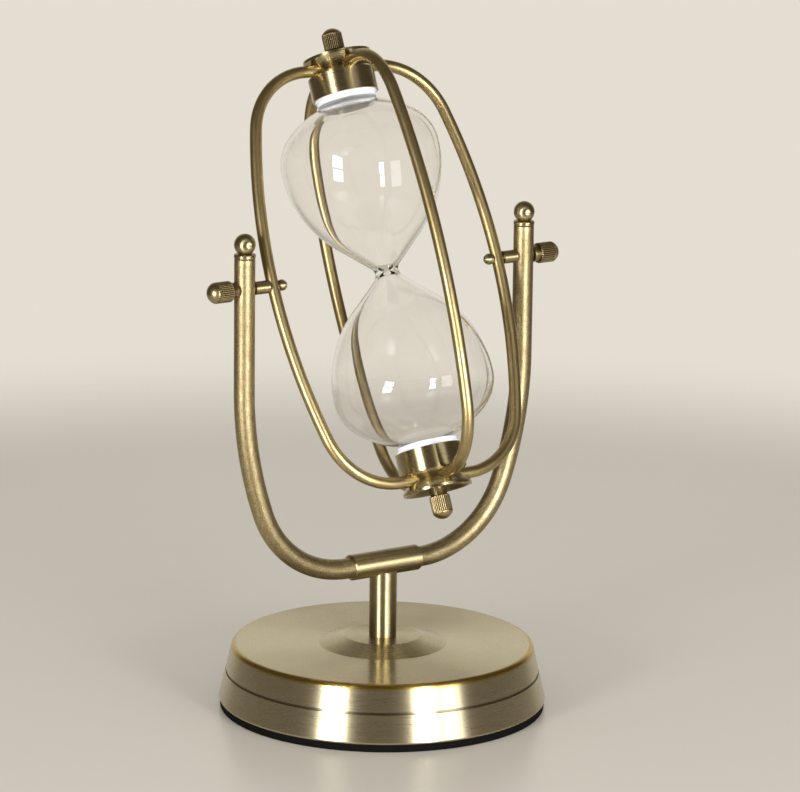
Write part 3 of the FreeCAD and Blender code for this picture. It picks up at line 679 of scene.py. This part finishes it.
def headSurface(values, flutes):
    # profile: neck, step out to the grip, grip, dome; the grip's radius dips by depth * (1 - |cos|) between ridges
    radius, neck, edge = values["radius"], values["neckRadius"], values["edge"]
    gripFoot = values["neckFoot"] + values["neckLength"]
    domeFoot = gripFoot + values["gripLength"]
    domeRadius = (radius ** 2 + values["domeHeight"] ** 2) / (2 * values["domeHeight"])
    tip = domeFoot + values["domeHeight"]
    reach = math.degrees(math.asin(min(1.0, radius / domeRadius)))
    neckRun = roundedRun([(0, values["neckFoot"]), (neck, values["neckFoot"]), (neck, gripFoot), (radius - edge, gripFoot),
                          (radius, gripFoot + edge)], [0.15, 0.2, 0.1])
    gripRun = np.stack([np.full(25, radius), np.linspace(gripFoot + edge, domeFoot, 25)], -1)
    domeRun = arcRun((0, tip - domeRadius), domeRadius, 90 - reach, 90, 18)
    domeRun[-1, 0] = 0
    run = joinRuns(neckRun, gripRun, domeRun)
    steps = flutes["count"] * flutes["stepsEach"]
    angle = np.linspace(0, fullTurn, steps, endpoint=False)
    ridge = 1 - np.abs(np.cos(angle * flutes["count"] / 2)) ** 0.8
    height = run[:, 1]
    within = np.clip((height - gripFoot) / flutes["fade"], 0, 1) * np.clip((domeFoot + 0.1 - height) / flutes["fade"], 0, 1)
    onGrip = within * (run[:, 0] > neck + 0.05)
    ripple = -flutes["depth"] * onGrip[:, None] * ridge[None]
    creases = np.exp(-((height - gripFoot) / 0.35) ** 2) * (run[:, 0] < neck + 0.3)
    hollow = np.clip(onGrip[:, None] * ridge[None] * 0.9 + creases[:, None], 0, 1)
    return turnedSurface(run * mm, steps, ripple * mm, hollow=hollow)


for name, side in {"left": -1, "right": 1}.items():
    shank = roundedRun([(0, clampValues["shankEnd"]), (clampValues["shankRadius"], clampValues["shankEnd"]),
                        (clampValues["shankRadius"], clampValues["neckFoot"] + 1), (0, clampValues["neckFoot"] + 1)],
                       [0.2, 0.1]) * mm
    makePiece("clamp_screw_" + name, [headSurface(clampValues, flutedValues), turnedSurface(shank, 32)],
              gripBrass, name + "_clamp", ["pivot_screw_" + name],
              axisPlace(cageSide * side, pivot))
for name, side in {"top": 1, "bottom": -1}.items():
    makePiece("thumb_nut_head_" + name, [headSurface(thumbNutValues, flutedValues)],
              gripBrass, name + "_nut", ["thumb_nut_" + name], axisPlace(cageUp * side, pivot))
print("knurled heads cut")


glassValues = {
    "radius": 32.0, "widest": 47.0, "crownRise": 23.5, "shoulderRadius": 18.0, "sideRadius": 46.0, "coneHalfAngle": 47.0,
    "neckRadius": 4.7, "boreRadius": 1.2, "wall": 1.5, "steps": 160,
}


def glassRun(values, inset, neck):
    # half a pear: crown arc, shoulder arc, side arc, a straight cone, then the curve through the neck; all
    # tangent. Drawing the skin in by the wall only changes each arc's radius.
    reach, rise, shoulderRadius = values["radius"], values["crownRise"], values["shoulderRadius"]
    crownRadius = (reach ** 2 - 2 * reach * shoulderRadius + rise ** 2) / (2 * (rise - shoulderRadius))
    crown = (0, values["widest"] + rise - crownRadius)
    shoulder = (reach - shoulderRadius, values["widest"])
    join = math.degrees(math.atan2(shoulder[1] - crown[1], shoulder[0] - crown[0]))
    flank = (reach - values["sideRadius"], values["widest"])
    cone = values["coneHalfAngle"]
    away = np.array([math.cos(math.radians(cone)), -math.sin(math.radians(cone))])
    coneTop = np.array(flank) + (values["sideRadius"] - inset) * away
    curve = ((neck - coneTop[0]) * away[0] - coneTop[1] * away[1]) / (1 - away[0])
    neckRun = arcRun((neck + curve, 0), curve, 180 - cone, 180, 24)
    share = np.linspace(0, 1, 14)[:, None]
    half = joinRuns(
        arcRun(crown, crownRadius - inset, 90, join, 30),
        arcRun(shoulder, shoulderRadius - inset, join, 0, 26),
        arcRun(flank, values["sideRadius"] - inset, 0, -cone, 44),
        coneTop + (neckRun[0] - coneTop) * share,
        neckRun,
    )
    half[0, 0] = 0
    return np.concatenate([half, half[-2::-1] * [1, -1]]) * mm


glassPiece = makePiece(
    "blown_glass",
    [turnedSurface(glassRun(glassValues, 0, glassValues["neckRadius"]), glassValues["steps"]),
     turnedSurface(glassRun(glassValues, glassValues["wall"], glassValues["boreRadius"]), glassValues["steps"], flip=True)],
    clearGlass, "cage", ["glass"], axisPlace(cageUp, pivot), sharp=80)
print("glass blown:", [round(v / mm, 1) for v in glassPiece.dimensions])


padValues = {"radius": 65.3, "thickness": 3.0, "edge": 0.6, "steps": 192}
padCorners = [(0, 0), (padValues["radius"], 0), (padValues["radius"], padValues["thickness"]), (0, padValues["thickness"])]
makePiece("foam_pad", [turnedSurface(roundedRun(padCorners, [padValues["edge"]] * 2) * mm, padValues["steps"])],
          blackFoam, "stand", ["base_pad"])

for name in ("gasket_top", "gasket_bottom"):
    nodes[name].data.materials.clear()
    nodes[name].data.materials.append(whiteFoam)
print("foam cut")
